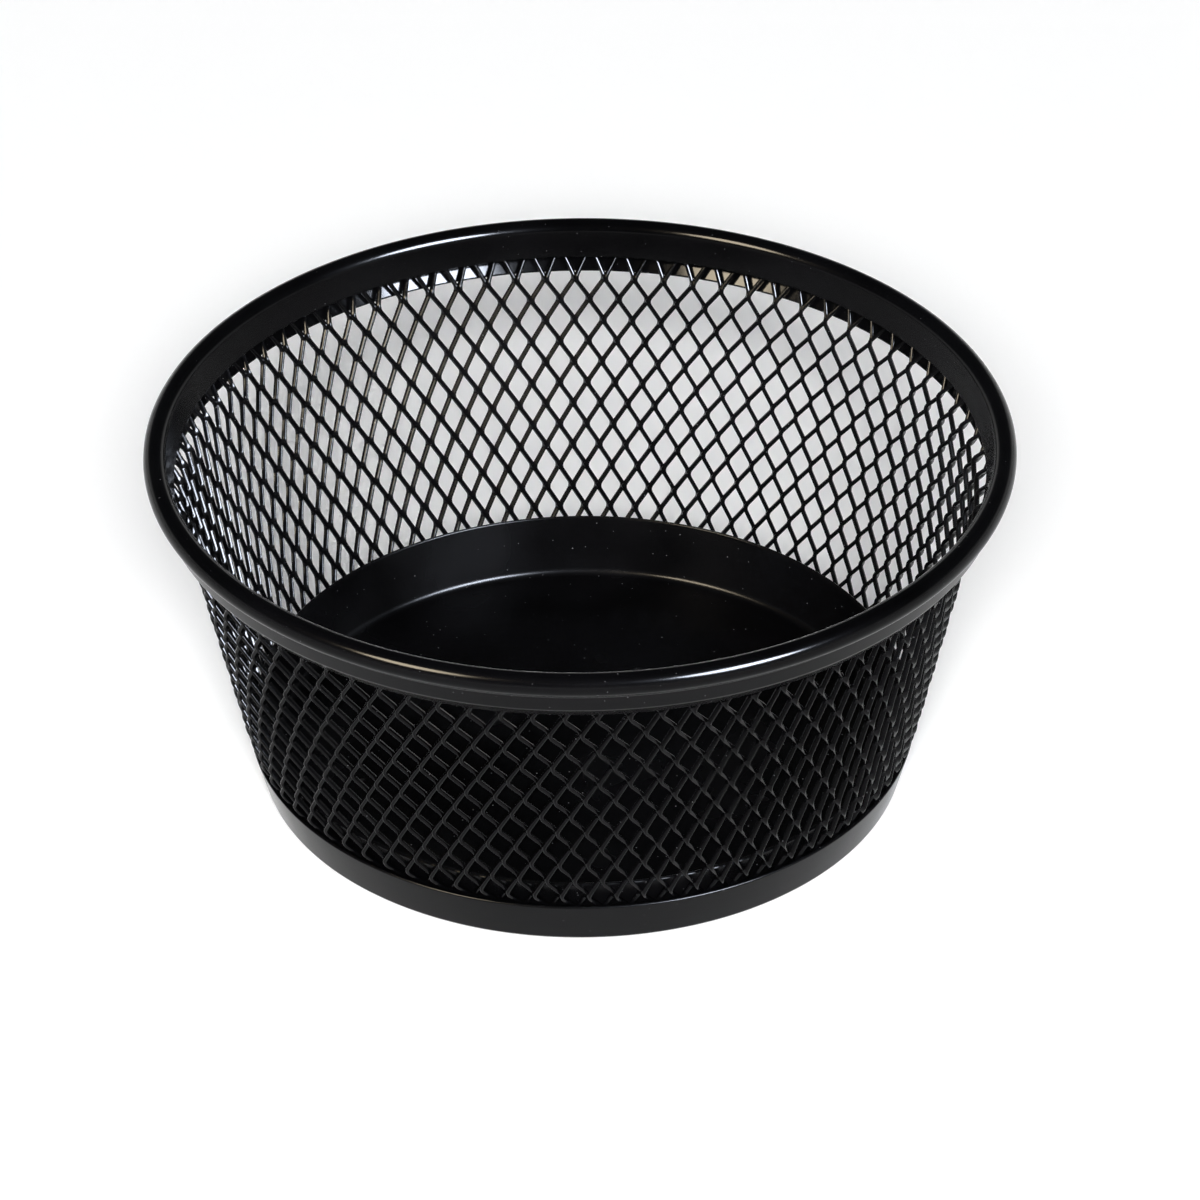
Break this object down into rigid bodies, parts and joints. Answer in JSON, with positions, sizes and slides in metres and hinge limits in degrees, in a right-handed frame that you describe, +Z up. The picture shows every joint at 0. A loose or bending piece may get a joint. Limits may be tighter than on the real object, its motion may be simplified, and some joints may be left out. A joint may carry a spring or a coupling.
{
  "type": "mesh storage dish",
  "caption": "Round open dish with a flared wall of black expanded steel mesh between a rolled rim and a pressed base, for small desk items.",
  "frame": {"origin": "on the dish's axis, at the desk surface under the pad", "axes": "+Z up along the axis of the dish; X and Y lie in the desk plane"},
  "size_m": [0.111, 0.111, 0.049],
  "materials": {
    "rim_enamel": "smooth gloss black enamel on rolled sheet steel",
    "mesh_enamel": "gloss black enamel on expanded steel",
    "base_enamel": "satin black enamel on pressed sheet steel",
    "pad_foam": "matt black closed-cell foam"
  },
  "bodies": {
    "root": {"rolled_rim": "rim_enamel", "mesh_wall": "mesh_enamel", "foot_band": "base_enamel", "floor_pan": "base_enamel", "base_pad": "pad_foam"}
  },
  "joints": []
}
